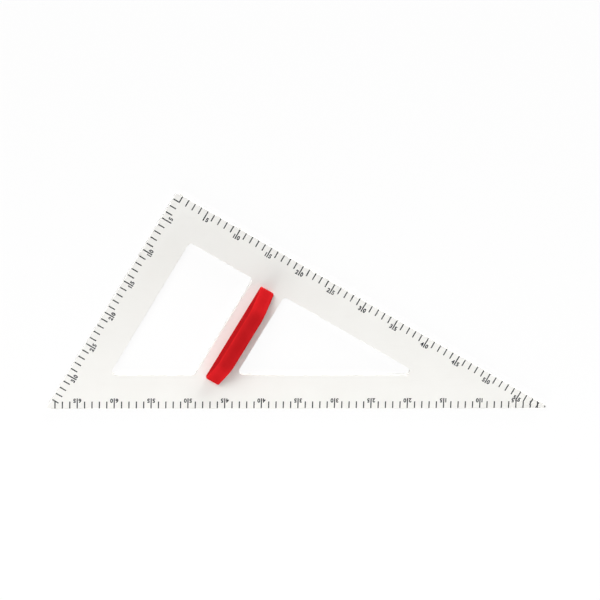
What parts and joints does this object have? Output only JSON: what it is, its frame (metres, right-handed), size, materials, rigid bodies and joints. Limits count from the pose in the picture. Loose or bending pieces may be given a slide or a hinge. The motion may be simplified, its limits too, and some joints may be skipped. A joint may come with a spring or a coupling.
{
  "type": "blackboard set square",
  "caption": "White plastic 30/60 degree set square for a blackboard, with two windows, a red grip on the cross bar and printed centimetre scales along its edges.",
  "frame": {"origin": "on the back face, under the middle of the plate's outline", "axes": "+X along the hypotenuse towards the slim 30 degree tip, +Y towards the square corner, +Z out of the printed face along the grip's height"},
  "size_m": [0.6826, 0.299, 0.041],
  "materials": {
    "plate": "satin white moulded",
    "handle": "matte red moulded",
    "screw": "zinc plated",
    "ink": "dark grey print"
  },
  "bodies": {
    "root": {"plate": "plate", "handle": "handle", "upper_screw": "screw", "lower_screw": "screw", "hypotenuse_scale": "ink", "long_leg_scale": "ink", "short_leg_scale": "ink"}
  },
  "joints": []
}
